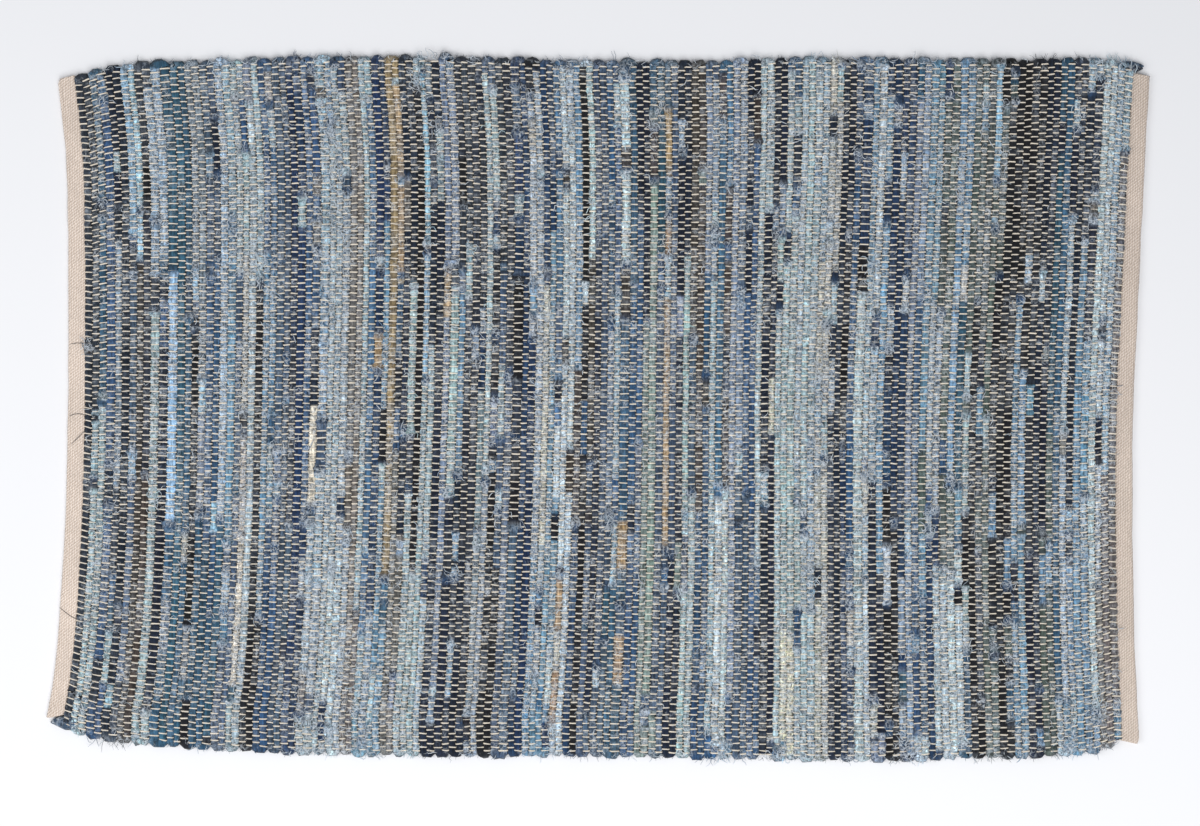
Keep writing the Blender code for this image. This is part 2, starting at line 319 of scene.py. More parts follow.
PALE_FIBRE = linear((222, 230, 238))
BLUE_FIBRE = linear((66, 100, 138))
LUMP = linear((42, 66, 96))
SEWING_THREAD = linear((52, 54, 62))
# The ground's dark colours are painted shade, seen in the gaps between the rags.
GROUND_SHADE_DARK, GROUND_SHADE_PALE = linear((44, 52, 70)), linear((104, 116, 136))
BACK_OF_DENIM = 0.6  # power that turns a shade into the cloth's back


def through(table, at):
    """Smooth curve through (where, value) rows, read at an array of places: between two rows a
    cubic, whose slopes are those of their neighbours."""
    where, value = table[:, 0], table[:, 1]
    at = np.clip(at, where[0], where[-1])
    k = np.clip(np.searchsorted(where, at) - 1, 0, len(where) - 2)
    index = np.arange(len(where))
    low, high = np.maximum(index - 1, 0), np.minimum(index + 1, len(where) - 1)
    slope = (value[high] - value[low]) / (where[high] - where[low])
    span = where[k + 1] - where[k]
    share = (at - where[k]) / span
    rise = value[k + 1] - value[k]
    start, end = slope[k] * span, slope[k + 1] * span
    square, cube = 3 * rise - 2 * start - end, start + end - 2 * rise
    return value[k] + start * share + square * share ** 2 + cube * share ** 3


def on_panel(along, across):
    """Places (x, y) of the rag field from shares along and across it: straight between the
    selvedges, then straight between the tapes' edges, plus a slow sideways wave."""
    along, across = np.broadcast_arrays(along, across)
    rough = HALF_LENGTH * (2 * along - 1)
    near, far = through(NEAR_SELVEDGE, rough), through(FAR_SELVEDGE, rough)
    y = near + (far - near) * across
    left = through(LEFT_FOLD, y) + TAPE_FLAP + GAP
    right = through(RIGHT_FOLD, y) - TAPE_FLAP - GAP
    turn_along, turn_across, start = SWAY_WAVE
    wave = np.sin(turn_along * along + turn_across * across + start)
    return left + (right - left) * along + SWAY * np.sin(np.pi * along) * wave, y


def stripe_order():
    """Shade and relative width of each pass, read from the stripe order."""
    shades, widths = [], []
    for entry in STRIPES.split(","):
        words = entry.split()
        count = int(words[0]) if words[0].isdigit() else 1
        shades += [words[-1]] * count
        widths += [WIDE_RAG if "wide" in words else 1] * count
    if len(shades) != PASSES:
        raise ValueError(f"the stripe order has {len(shades)} passes, not {PASSES}")
    return shades, np.array(widths)


def pass_edges():
    """Shares along the rug at which one pass of rag ends and the next begins, and the passes'
    middles."""
    _, widths = stripe_order()
    rng = np.random.default_rng(PASSES)
    widths = widths * (1 + UNEVEN_RAG * either_way(rng, PASSES))
    edges = np.concatenate(([0], np.cumsum(widths) / widths.sum()))
    return edges, 0.5 * (edges[1:] + edges[:-1])


def warp_share(number):
    """Share across the rug of a warp yarn, from its number, which need not be whole."""
    edge = WARP_EDGE / RUG_WIDTH
    return edge + (1 - 2 * edge) * number / (WARPS - 1)


def either_way(rng, shape):
    """Random values from -1 to 1."""
    return rng.uniform(-1, 1, shape)


def drift(rng, count, every):
    """A smooth random line of values from -1 to 1: random knots joined by half cosines."""
    knots = either_way(rng, int(count / every) + 3)
    place = np.arange(count) / every
    k = place.astype(int)
    share = 0.5 - 0.5 * np.cos(np.pi * (place - k))
    return knots[k] * (1 - share) + knots[k + 1] * share


def mixed(share, first, second):
    """What lies between two colours or other values, at a share of the way."""
    return first * (1 - share) + second * share


def put_mesh(name, points, faces, material, shade=None, smooth=True, **values):
    """A mesh object from an array of points and a list of arrays of faces, one for each number of
    corners. The points' linear colours are stored as 'shade' and their values under their own
    names, from arrays that fit the points'."""
    mesh = bpy.data.meshes.new(name)
    corners = np.concatenate([part.reshape(-1) for part in faces])
    totals = np.concatenate([np.full(len(part), part.shape[1]) for part in faces])
    mesh.vertices.add(points.size // 3)
    mesh.vertices.foreach_set("co", points.astype(np.float32).reshape(-1))
    mesh.loops.add(len(corners))
    mesh.polygons.add(len(totals))
    mesh.polygons.foreach_set("loop_start", (np.cumsum(totals) - totals).astype(np.int32))
    mesh.loops.foreach_set("vertex_index", corners.astype(np.int32))
    mesh.polygons.foreach_set("use_smooth", np.full(len(totals), smooth))
    mesh.update(calc_edges=True)
    mesh.validate()
    if shade is not None:
        full = np.ones(points.shape[:-1] + (4,), dtype=np.float32)
        full[..., :3] = shade
        attribute = mesh.color_attributes.new("shade", "FLOAT_COLOR", "POINT")
        attribute.data.foreach_set("color", full.reshape(-1))
    for key, value in values.items():
        full = np.broadcast_to(value, points.shape[:-1]).astype(np.float32)
        mesh.attributes.new(key, "FLOAT", "POINT").data.foreach_set("value", full.reshape(-1))
    mesh.materials.append(material)
    piece = bpy.data.objects.new(name, mesh)
    bpy.context.scene.collection.objects.link(piece)
    return piece


def put_tubes(name, points, material, **looks):
    """Closed tubes as one piece, from points as (tubes, rings, sides, 3)."""
    return put_mesh(name, points, tube_faces(*points.shape[:3]), material, **looks)


def tube_faces(tubes, rings, sides):
    """Faces of closed tubes, each a stack of rings: quads round the wall and a flat cap at each
    end. Rings run counter-clockwise seen from where the tube is going."""
    tube = np.arange(tubes)[:, None, None] * rings * sides
    ring = np.arange(rings - 1)[None, :, None] * sides
    side = np.arange(sides)[None, None, :]
    after = (side + 1) % sides
    low = tube + ring
    wall = np.stack(
        np.broadcast_arrays(low + side, low + after, low + sides + after, low + sides + side),
        axis=-1,
    ).reshape(-1, 4)
    first = np.arange(tubes)[:, None] * rings * sides
    start = first + np.arange(sides)[None, ::-1]
    end = first + (rings - 1) * sides + np.arange(sides)[None, :]
    return [wall, np.concatenate((start, end))]


def tube_points(section, centres, half_width, up, down, tilt=0.0):
    """Rings of points round paths: centres is (tubes, rings, 3). A ring's point is the centre
    plus its place across times the half width, to the path's right, plus its height times the
    half height up or down, raised by the tilt times how far to the right it is."""
    heading = np.gradient(centres, axis=1)
    length = np.linalg.norm(heading[..., :2], axis=-1, keepdims=True)
    flat = heading[..., :2] / np.maximum(length, 1e-9)
    right = np.stack((flat[..., 1], -flat[..., 0]), axis=-1)
    out = half_width[..., None] * section[:, 0]
    height = section[:, 1] * np.where(section[:, 1] > 0, up[..., None], down[..., None])
    points = np.empty(centres.shape[:2] + (len(section), 3))
    points[..., :2] = centres[..., None, :2] + out[..., None] * right[..., None, :]
    points[..., 2] = centres[..., None, 2] + height + np.asarray(tilt)[..., None] * out
    return points


def smooth_path(places, rings):
    """Places on a smooth curve through a few, which are given in millimetres: (rings, axes)."""
    places = np.array(places) * MM
    share, run = np.linspace(0, 1, len(places)), np.linspace(0, 1, rings)
    return np.stack([through(np.stack((share, axis), -1), run) for axis in places.T], -1)


# The rags


def rag_path(rng):
    """The rag weft as one path through all passes and turns, as arrays along it: place (x, y),
    station (pass number plus the share of it gone), pass number, pinched under a warp (1) or
    free (0), and in a turn (1) or not (0)."""
    _, middle = pass_edges()
    per_pass = (WARPS // 2) * RINGS_A_PITCH - 1
    step = 2 / RINGS_A_PITCH
    k = np.arange(PASSES)
    odd = k % 2
    ring = np.arange(per_pass)[None, :]
    number = step * ring + np.where(odd, step / 2, 0)[:, None]
    x, y = on_panel(middle[:, None], warp_share(number))
    pinched = (ring % RINGS_A_PITCH) == odd[:, None]
    # Odd passes run back towards the near selvedge.
    x[1::2], y[1::2] = x[1::2, ::-1], y[1::2, ::-1]
    pinched[1::2] = pinched[1::2, ::-1]
    # A turn is half a circle between the ends of two passes, stretched past the last warp.
    end = np.stack((x[:-1, -1], y[:-1, -1]), -1)
    begin = np.stack((x[1:, 0], y[1:, 0]), -1)
    centre = 0.5 * (end + begin)
    reach = 0.5 * np.linalg.norm(begin - end, axis=-1)
    bulge = reach * rng.uniform(*TURN_BULGE, len(reach)) * np.where(odd[:-1], -1, 1)
    angle = np.pi * (np.arange(TURN_RINGS) + 1) / (TURN_RINGS + 1)
    to_side = np.sign(np.cos(angle)) * np.abs(np.cos(angle)) ** TURN_SQUARE
    turn_x = centre[:, None, 0] - TURN_SWING * reach[:, None] * to_side
    turn_y = centre[:, None, 1] + bulge[:, None] * np.sin(angle) ** TURN_SQUARE
    blank = np.full((1, TURN_RINGS), np.nan)
    in_turn = np.zeros_like(turn_x)

    def joined(of_pass, of_turn):
        return np.concatenate((of_pass, np.concatenate((of_turn, blank))), axis=1).reshape(-1)

    path_x, path_y = joined(x, turn_x), joined(y, turn_y)
    station = joined(k[:, None] + (ring + 0.5) / per_pass, in_turn + k[1:, None])
    passes = joined(k[:, None] + np.zeros_like(x), in_turn + k[:-1, None] + 0.5)
    pinch = joined(pinched.astype(float), in_turn)
    turning = joined(np.zeros_like(x), in_turn + 1)
    keep = ~np.isnan(path_x)
    return [part[keep] for part in (path_x, path_y, station, passes, pinch, turning)]


def rag_shades(rng, y, station, passes, own):
    """Number of the shade at each ring of the weft. A pass keeps its shade between its two
    joins. The rag from there round the turn is the last pass's, the next one's or an odd one.
    Then come the noted rags and the patches. A pillow reads its shade a little off its own
    place, which mixes joined rags."""
    catalogue = list(SHADES)
    main = np.array([catalogue.index(name) for name in stripe_order()[0]])
    k = np.arange(PASSES)
    wander = JOIN_WANDER * np.sin(JOIN_WAVE * k + 1)
    gathered = rng.random((2, PASSES)) < IN_A_ROW
    spread = rng.normal(0, JOIN_SPREAD, (2, PASSES))
    joins = []
    for row, (low, high) in enumerate(JOIN_HALVES):
        common = JOIN_ROWS[row] + wander + spread[row]
        elsewhere = rng.uniform(low + JOIN_CLEAR, high - JOIN_CLEAR, PASSES)
        joins.append(k + np.clip(np.where(gathered[row], common, elsewhere), low, high))
    joins = np.stack(joins, -1)
    odd_rag = main[np.clip(k + rng.integers(-NEARBY, NEARBY + 1, PASSES), 0, PASSES - 1)]
    pick = rng.random(PASSES)
    turned = np.where(
        pick < SAME_ROUND_TURN, main, np.where(pick < NEXT_ROUND_TURN, np.roll(main, -1), odd_rag)
    )
    rags = np.concatenate((main[:1], np.stack((main, turned), -1).reshape(-1)))
    shade = rags[np.searchsorted(joins.reshape(-1), station + JOIN_MIX * own)]
    ragged = rng.normal(0, 0.5 * RAGGED_ENDS, PASSES)[np.floor(passes).astype(int)]
    place = y + JOIN_MIX * RUG_WIDTH * own + np.clip(ragged, -RAGGED_ENDS, RAGGED_ENDS)
    _, middle = pass_edges()
    for name, along, low, high, count in NOTED_RAGS:
        across = 0.5 + 0.5 * (low + high) * MM / RUG_WIDTH
        nearest = np.argmin(np.abs(on_panel(middle, across)[0] - along * MM))
        start = nearest - (count - 1) // 2
        inside = (passes >= start) & (passes <= start + count - 1)
        shade[inside & (place > low * MM) & (place < high * MM)] = catalogue.index(name)
    starts = rng.integers(0, len(shade), PATCHES)
    lengths = rng.integers(*PATCH_RINGS, PATCHES)
    seen = rng.integers(-NEARBY, NEARBY + 1, PATCHES) + passes[starts].astype(int)
    for start, length, other in zip(starts, lengths, np.clip(seen, 0, PASSES - 1)):
        shade[start:start + length] = main[other]
    return shade


def rag_arrays(seed):
    """Centre line, section, colour and fray of the weft, one row for each ring."""
    rng = np.random.default_rng(seed)
    x, y, station, passes, pinch, turning = rag_path(rng)
    count = len(x)
    # Each pillow between two warps has its own tone, tilt, fullness and place.
    pillow = np.arange(count) // RINGS_A_PITCH
    own = either_way(rng, (6, pillow[-1] + 1))[:, pillow]
    shade = rag_shades(rng, y, station, passes, own[4])
    colour = np.array([dyed(name) for name in SHADES])[shade]
    fray = np.array([frayed for _, frayed in SHADES.values()])[shade]
    edges, _ = pass_edges()
    width = np.diff([on_panel(edges, share)[0] for share in (0, 0.5, 1)], axis=1).mean(axis=0)
    low = np.clip(np.floor(passes).astype(int), 0, PASSES - 1)
    high = np.clip(np.ceil(passes).astype(int), 0, PASSES - 1)
    pitch = 0.5 * (width[low] + width[high])

    # A join is a lump, of its own size, that covers the warp.
    knot = np.zeros(count)
    joins = np.flatnonzero(np.diff(shade) != 0)
    strength = rng.uniform(0, 1, len(joins))
    lump = np.zeros(count)
    dark = strength * (rng.random(len(joins)) < DARK_LUMPS)
    for away, fall in enumerate(KNOT_FALL):
        for place in (joins - away, joins + away):
            np.maximum.at(knot, np.clip(place, 0, count - 1), strength * fall)
            np.maximum.at(lump, np.clip(place, 0, count - 1), dark * fall)

    def uneven(value, what, own):
        """The value with the drift, the pillow's own share and the join's lump added."""
        slow, rings, by_pillow, by_knot = UNEVEN[what]
        return value + slow * drift(rng, count, rings) + by_pillow * own + by_knot * knot

    # Rags fray in patches, and most where they are joined.
    fray = np.clip(uneven(fray, "fray", own[5]), 0, 1)
    # Denim is pale on its back, and a folded strip shows now its face and now its back.
    changes = (np.diff(shade) != 0) | (np.diff(np.floor(passes)) != 0)
    rag = np.concatenate(([0], np.cumsum(changes)))
    tint = 1 + RAG_TINT * either_way(rng, (rag[-1] + 1, 3))[rag]
    tint = tint * (1 + RAG_TONE * either_way(rng, rag[-1] + 1)[rag, None])
    tone = uneven(uneven(1, "tone", own[0]), "quick tone", own[0])
    tone = tone + (PILLOW_TONE[0] + PILLOW_TONE[1] * fray) * own[0]
    colour = colour * tint * (tone * (1 - KNOT_SHADE * knot))[:, None]
    turned = np.clip(uneven(0, "back", own[5]), 0, 1)
    back = (BACK_SHOWN * fray * turned)[:, None]
    colour = mixed(back, colour, colour ** BACK_OF_DENIM)
    worn = rng.random((2, count))
    colour = mixed((PALE_WEAR * fray * worn[0] ** 2)[:, None], colour, PALE_FIBRE)
    colour = mixed((BLUE_WEAR * fray * worn[1] ** 2)[:, None], colour, BLUE_FIBRE)
    dark_blue = LUMP * (LUMP_TONE[0] + LUMP_TONE[1] * rng.random((count, 1)))
    colour = mixed((LUMP_COVER * lump)[:, None], colour, dark_blue)

    open_rag = np.clip(knot + OPEN_WHERE_FRAYED * fray * rng.random(count), 0, 1)
    pinch = pinch * (1 - open_rag)
    free = 1 - pinch
    fat = uneven(1, "fullness", own[1])
    z = RAG_MIDDLE + np.where(turning > 0, -TURN_DROP, RAG_LIFT * (0.5 * free - pinch))
    z = uneven(z, "height", own[2])
    wide = np.where(turning > 0, TURN_WIDTH, PINCH_WIDTH * pinch + PILLOW_WIDTH * free)
    half = 0.5 * pitch * wide * fat
    up = (PINCH_UP * pinch + RAG_UP * free) * uneven(1, "thickness", own[1])
    x = uneven(x, "place", own[1] * (1 - turning))
    return {
        "centre": np.stack((x, y, z), -1), "half": half, "up": up,
        "down": np.minimum(up, z - RAG_CLEAR), "tilt": RAG_TILT * own[3],
        "colour": colour, "fray": fray, "passes": passes, "turning": turning, "knot": knot,
    }


def weave_rags(settings):
    """The weft in three stretches, each one long closed tube that goes back and forth. Each
    point is moved out or in along its spoke by a random share, which crumples the cloth."""
    arrays = rag_arrays(settings.seed)
    rng = np.random.default_rng(settings.seed + 1)
    material = rag_material()
    # The two side corners of each rag's section are darkened: painted shade in the grooves between
    # rags.
    painted_groove_shade = np.where(np.abs(RAG_SECTION[:, 0]) == 1, GROOVE_SHADE, 1)
    whole, frayed, turned = CRUMPLE
    names = ("rags_left", "rags_middle", "rags_right")
    pieces = []
    for number, name in enumerate(names):
        first, last = [end * PASSES // len(names) for end in (number, number + 1)]
        chosen = (arrays["passes"] >= first - 0.01) & (arrays["passes"] <= last - 0.99)
        part = {key: value[None, chosen] for key, value in arrays.items()}
        points = tube_points(
            RAG_SECTION, part["centre"], part["half"], part["up"], part["down"], part["tilt"]
        )
        fray = part["fray"][..., None]
        share = whole + (frayed - whole) * fray + turned * part["turning"][..., None]
        crumple = (share * either_way(rng, points.shape[:3]))[..., None]
        points = points + (points - part["centre"][..., None, :]) * crumple
        points[..., 2] = np.clip(points[..., 2], RAG_FLOOR, RAG_CEILING)
        mottle = (MOTTLE[0] + MOTTLE[1] * fray) * either_way(rng, points.shape[:3])
        shade = part["colour"][..., None, :] * ((1 + mottle) * painted_groove_shade)[..., None]
        pieces.append(put_tubes(name, points, material, shade=shade, fray=fray))
    return pieces


# The warp


def weave_warp(settings):
    """The warp in two halves, each yarn a thin tube that goes over one pass and under the next,
    with two rings over a rag and one under, and runs out into the tapes."""
    rng = np.random.default_rng(settings.seed + 2)
    edges, _ = pass_edges()
    width = np.diff(edges)
    crossing = np.arange(PASSES)
    shares, highs = [], []
    for start in (0, 1):
        over = crossing % 2 == start
        k = np.repeat(crossing, np.where(over, 2, 1))
        entering = np.concatenate(([True], np.diff(k) > 0))
        place = np.where(over[k], np.where(entering, WARP_BEND, 1 - WARP_BEND), 0.5)
        shares.append(edges[k] + place * width[k])
        highs.append(over[k])
    number = np.arange(WARPS)
    share, over = np.array(shares)[number % 2], np.array(highs)[number % 2]
    x, y = on_panel(share, warp_share(number)[:, None])
    radius = settings.warp_thickness / 2
    top = RAG_MIDDLE - RAG_LIFT + PINCH_UP + 0.85 * radius
    bottom = max(2 * RAG_MIDDLE - top, 1.1 * radius)
    along, across, upright = WARP_STRAY
    z = np.where(over, top, bottom) + upright * either_way(rng, x.shape)
    y = y + across * either_way(rng, y.shape)
    x = x + along * either_way(rng, x.shape)
    ends = []
    for edge, (near, far) in ((0, LEFT_TAPE_ENDS), (-1, RIGHT_TAPE_ENDS)):
        place = y[:, edge, None]
        inside = (place > near + MM) & (place < far - MM)
        reach = np.where(inside, WARP_TUCK, WARP_STUB)
        end_x = x[:, :1] - reach if edge == 0 else x[:, -1:] + reach[:, ::-1]
        ends.append((end_x, np.repeat(place, 2, axis=1), np.full((WARPS, 2), TAPE_HEIGHT / 2)))
    before, after = ends
    centres = np.stack(
        [np.concatenate(parts, axis=1) for parts in zip(before, (x, y, z), after)], -1
    )
    size = radius * rng.uniform(0.85, 1.15, centres.shape[:2])
    across, up, down = YARN_SQUASH
    points = tube_points(YARN_SECTION, centres, across * size, up * size, down * size)
    base, by_ring, by_yarn = YARN_TONE
    tone = base + by_ring * rng.random(size.shape) - by_yarn * rng.random((WARPS, 1))
    material = yarn_material(settings)
    near, far = slice(0, WARPS // 2), slice(WARPS // 2, WARPS)
    return [
        put_tubes(name, points[rows], material, tone=tone[rows, :, None])
        for name, rows in (("warp_near", near), ("warp_far", far))
    ]


# The loose threads


def lay_threads(name, path, z, thickness, colours):
    """Thin closed tubes that taper to both ends: path is (threads, rings, 2), and thickness and
    colours have one row for each thread."""
    run = np.linspace(0, 1, path.shape[1])
    centres = np.concatenate((path, z[..., None]), -1)
    taper = THREAD_TIP + (1 - THREAD_TIP) * np.sin(np.pi * run) ** 0.5
    size = 0.5 * thickness[:, None] * taper
    points = tube_points(YARN_SECTION, centres, size, size, size)
    return put_tubes(name, points, thread_material(), shade=colours[:, None, None])


def curled(rng, start, heading, length, rings, curl):
    """Curly paths on the flat, (threads, rings, 2): the heading turns by a random step at each
    ring, and the places are the running sums of the steps."""
    turn = rng.normal(0, curl, (len(heading), rings - 1))
    angle = heading[:, None] + np.cumsum(turn, axis=1)
    steps = (length / (rings - 1))[:, None, None] * np.stack((np.cos(angle), np.sin(angle)), -1)
    start = start[:, None]
    return np.concatenate((start, start + np.cumsum(steps, axis=1)), axis=1)


def tail_rags(settings):
    """The ends of the weft at two corners, each a short flat rag that tapers as it lies past the
    tape's cut end."""
    rng = np.random.default_rng(settings.seed + 7)
    run = np.linspace(0, 1, TAIL_RINGS)
    centres, halves, shades = [], [], []
    for shade, wide, *places in RAG_TAILS:
        centres.append(smooth_path(places, TAIL_RINGS))
        halves.append(0.5 * wide * MM * (1 - TAIL_TAPER * run ** 3))
        shades.append(np.outer(rng.uniform(0.7, 1.3, TAIL_RINGS), dyed(shade)))
    centres, halves = np.array(centres), np.array(halves)
    up = np.minimum(0.55 * halves, centres[..., 2] - 2 * RAG_FLOOR)
    tilt = TAIL_TILT * rng.normal(size=up.shape)
    points = tube_points(RAG_SECTION, centres, halves, up, up, tilt)
    points[..., 2] = np.maximum(points[..., 2], RAG_FLOOR)
    shade = np.array(shades)[:, :, None]
    return put_tubes("rag_tails", points, rag_material(), shade=shade, fray=0.4)


def fray_rags(settings):
    """Curly threads worked loose from the frayed rags: each starts in a rag's crown and lies over
    it in a low arch."""
    rng = np.random.default_rng(settings.seed + 3)
    arrays = rag_arrays(settings.seed)
    weight = arrays["fray"] ** 1.6 + 1.2 * arrays["knot"]
    burst = np.clip(drift(rng, len(weight), 22), 0, 1) ** 2
    weight = weight * (0.15 + 3 * burst) + 0.5 * arrays["turning"]
    root = rng.choice(len(weight), FRAYS, p=weight / weight.sum())
    centre = arrays["centre"][root]
    side = either_way(rng, FRAYS) * arrays["half"][root]
    start = centre[:, :2] + np.stack((side, np.zeros(FRAYS)), -1)
    along = np.where(rng.random(FRAYS) < 0.5, 0.5, -0.5) * np.pi
    heading = along + rng.normal(0, FRAY_CURL, FRAYS)
    length = rng.uniform(*FRAY_LENGTH, FRAYS)
    path = curled(rng, start, heading, length, FRAY_RINGS, FRAY_CURL)
    run = np.linspace(0, 1, FRAY_RINGS)[None, :]
    crown = (centre[:, 2] + arrays["up"][root])[:, None]
    arch = rng.uniform(*FRAY_ARCH, (FRAYS, 1)) * MM * np.sin(np.pi * run)
    z = np.minimum(crown - FRAY_SUNK + arch + 2 * FRAY_SUNK * run, FRAY_CEILING)
    own = rng.uniform(0, 1, (FRAYS, 1)) ** 0.5
    colours = mixed(own, arrays["colour"][root] * LOOSE_LIGHTER, PALE_FIBRE)
    thickness = rng.uniform(*FRAY_THICKNESS, FRAYS) * MM
    return lay_threads("frayed_threads", path, z, thickness, colours)


def fray_selvedges(settings):
    """Whiskers that stand out from the turns: short ones all along both selvedges, and the
    longer tufts."""
    rng = np.random.default_rng(settings.seed + 4)
    arrays = rag_arrays(settings.seed)
    turns = np.flatnonzero(arrays["turning"] > 0)
    roots = [rng.choice(turns, SHORT_WHISKERS)]
    lengths = [rng.uniform(*SHORT_LENGTH, SHORT_WHISKERS) * MM]
    for along, side, count, length in WHISKER_TUFTS:
        on_side = turns[arrays["centre"][turns, 1] * side > 0]
        away = np.abs(arrays["centre"][on_side, 0] - along * MM)
        roots.append(rng.choice(on_side[np.argsort(away)[:TURN_RINGS * 2]], count))
        lengths.append(rng.uniform(0.5, 1, count) * length * MM)
    root, length = np.concatenate(roots), np.concatenate(lengths)
    centre = arrays["centre"][root]
    outward = np.where(centre[:, 1] > 0, 0.5, -0.5) * np.pi
    heading = outward + rng.normal(0, WHISKER_LEAN, len(root))
    path = curled(rng, centre[:, :2], heading, length + 2 * MM, WHISKER_RINGS, WHISKER_CURL)
    run = np.linspace(0, 1, WHISKER_RINGS)[None, :]
    height = rng.uniform(*WHISKER_HEIGHT, (len(root), 1)) * MM
    z = np.maximum(centre[:, 2:] + height * (1 - 0.8 * run), 0.4 * MM)
    shade = arrays["colour"][root] * rng.uniform(0.7, 1.5, (len(root), 1))
    own = 0.35 * rng.random((len(root), 1))
    thickness = rng.uniform(*WHISKER_THICKNESS, len(root)) * MM
    colours = mixed(own, shade, PALE_FIBRE)
    return lay_threads("selvedge_whiskers", path, z, thickness, colours)


def drop_threads():
    """The dark sewing threads that lie loose on the tape and the rags, each one a smooth curve
    through its row of places, in a low arch."""
    path = np.array([smooth_path(places, LOOSE_RINGS) for _, *places in LOOSE_THREADS])
    height = np.array([[height * MM] for height, *_ in LOOSE_THREADS])
    z = height + LOOSE_ARCH * np.sin(np.pi * np.linspace(0, 1, LOOSE_RINGS))
    count = len(path)
    thickness = np.full(count, LOOSE_THICKNESS)
    return lay_threads("loose_threads", path, z, thickness, np.tile(SEWING_THREAD, (count, 1)))


# The ground


def weave_ground():
    """A thin closed sheet through the middle of the weave: a grid of the rag field's own places,
    its two faces a thickness apart."""
    columns, rows = GROUND_GRID
    along = np.linspace(0.002, 0.998, columns)
    across = np.linspace(0.008, 0.992, rows)
    x, y = on_panel(along[:, None], across[None, :])
    top = np.stack((x, y, np.full_like(x, RAG_MIDDLE - GROUND_THICK / 2)), -1).reshape(-1, 3)
    low = top - np.array((0, 0, GROUND_THICK))
    i = np.arange(columns - 1)[:, None] * rows
    j = np.arange(rows - 1)[None, :]
    quads = np.stack((i + j, i + rows + j, i + rows + j + 1, i + j + 1), -1).reshape(-1, 4)
    count = len(top)
    grid = np.arange(count).reshape(columns, rows)
    rim = np.concatenate((grid[:-1, 0], grid[-1, :-1], grid[:0:-1, -1], grid[0, :0:-1]))
    after = np.roll(rim, -1)
    wall = np.stack((rim + count, after + count, after, rim), -1)
    faces = np.concatenate((quads, quads[:, ::-1] + count, wall))
    return put_mesh("woven_ground", np.concatenate((top, low)), [faces], ground_material())


# The tapes


def tape_section():
    """Closed section of the folded tape, as (depth from the fold, height) rows: the outer line
    from the top's free edge round the fold to the bottom's, then the inner line back. Then how
    many rows the flat top has."""
    top_columns, arc = 9, 5
    middle, inside = TAPE_HEIGHT / 2, TAPE_HEIGHT - TAPE_THICKNESS

    def fold(turns, radius):
        return [
            (middle - radius * math.sin(turn), middle + radius * math.cos(turn)) for turn in turns
        ]

    flat = np.linspace(TAPE_FLAP, middle + 0.2 * MM, top_columns)
    outer = [(depth, TAPE_HEIGHT) for depth in flat]
    outer += fold([math.pi * step / arc for step in range(arc + 1)], middle)
    outer += [(depth, 0) for depth in np.linspace(middle + 2 * MM, TAPE_FLAP, 4)]
    inner = [(depth, TAPE_THICKNESS) for depth in (TAPE_FLAP, 0.5 * TAPE_FLAP)]
    inner += fold([math.pi * (1 - step / 3) for step in range(4)], middle - TAPE_THICKNESS)
    inner += [(depth, inside) for depth in (0.5 * TAPE_FLAP, TAPE_FLAP)]
    return np.array(outer + inner), top_columns


def fold_tape(name, along, ends, outward, tone, settings):
    """A tape: its section carried along the rag field's end. Each second point of each second row
    of the top is raised, which gives a twill's slanting rows of oval bumps. Its cut ends are
    askew, and its face is a little uneven."""
    rng = np.random.default_rng(settings.seed + (5 if outward > 0 else 6))
    section, top_columns = tape_section()
    near, far = ends
    rows = int(round((far - near) / TWILL_ROW))
    y = np.linspace(near, far, rows)
    wall_x, wall_y = on_panel(along, np.linspace(-0.02, 1.02, 400))
    column = np.arange(len(section))
    on_face = column < top_columns + 3
    to_end = np.minimum(y - near, far - y) / TAPE_END_FADE
    fade = np.clip(to_end, 0, 1)
    lean = np.where(on_face, outward * TWILL_SLANT * (column - top_columns / 2), 0)
    depth, height = section[:, 0], section[:, 1]
    skew = TAPE_SKEW * (depth / TAPE_FLAP - 0.5)
    place = y[:, None] + lean[None, :] * fade[:, None] + skew[None, :] * (1 - fade)[:, None]
    x = np.interp(place, wall_y, wall_x)
    x = x + FOLD_STRAY * drift(rng, rows, 14)[:, None] * (depth < 5 * MM)
    x = x - outward * EDGE_STRAY * (1 + drift(rng, rows, 3))[:, None] * (depth > 12 * MM)
    to_corner = 1 - np.clip((to_end * TAPE_END_FADE) / TAPE_CORNER, 0, 1)
    x = x - outward * (0.6 * TAPE_CORNER * to_corner ** 2)[:, None] * (1 - depth / TAPE_FLAP)
    lifted = ((column % 2 == 1) & on_face) & (np.arange(rows) % 2 == 0)[:, None]
    full = 1 + UNEVEN_BUMP * either_way(rng, lifted.shape)
    bump = TWILL_BUMP * lifted * full
    middle = TAPE_HEIGHT / 2
    out_d = np.where(depth < middle, (depth - middle) / middle, 0)
    out_z = np.where(column < top_columns, 1, (height - middle) / middle)
    wave = TAPE_WAVE * drift(rng, rows, 17)[:, None] * (column < top_columns)
    points = np.stack((
        x + outward * (GAP + TAPE_FLAP - depth[None, :] - bump * out_d[None, :]),
        place,
        height[None, :] + bump * out_z[None, :] + wave,
    ), -1)
    faces = tube_faces(1, rows, len(section))
    if outward < 0:
        faces = [part[:, ::-1] for part in faces]
    return put_mesh(name, points, faces, tape_material(settings), tone=tone)


# The finishes


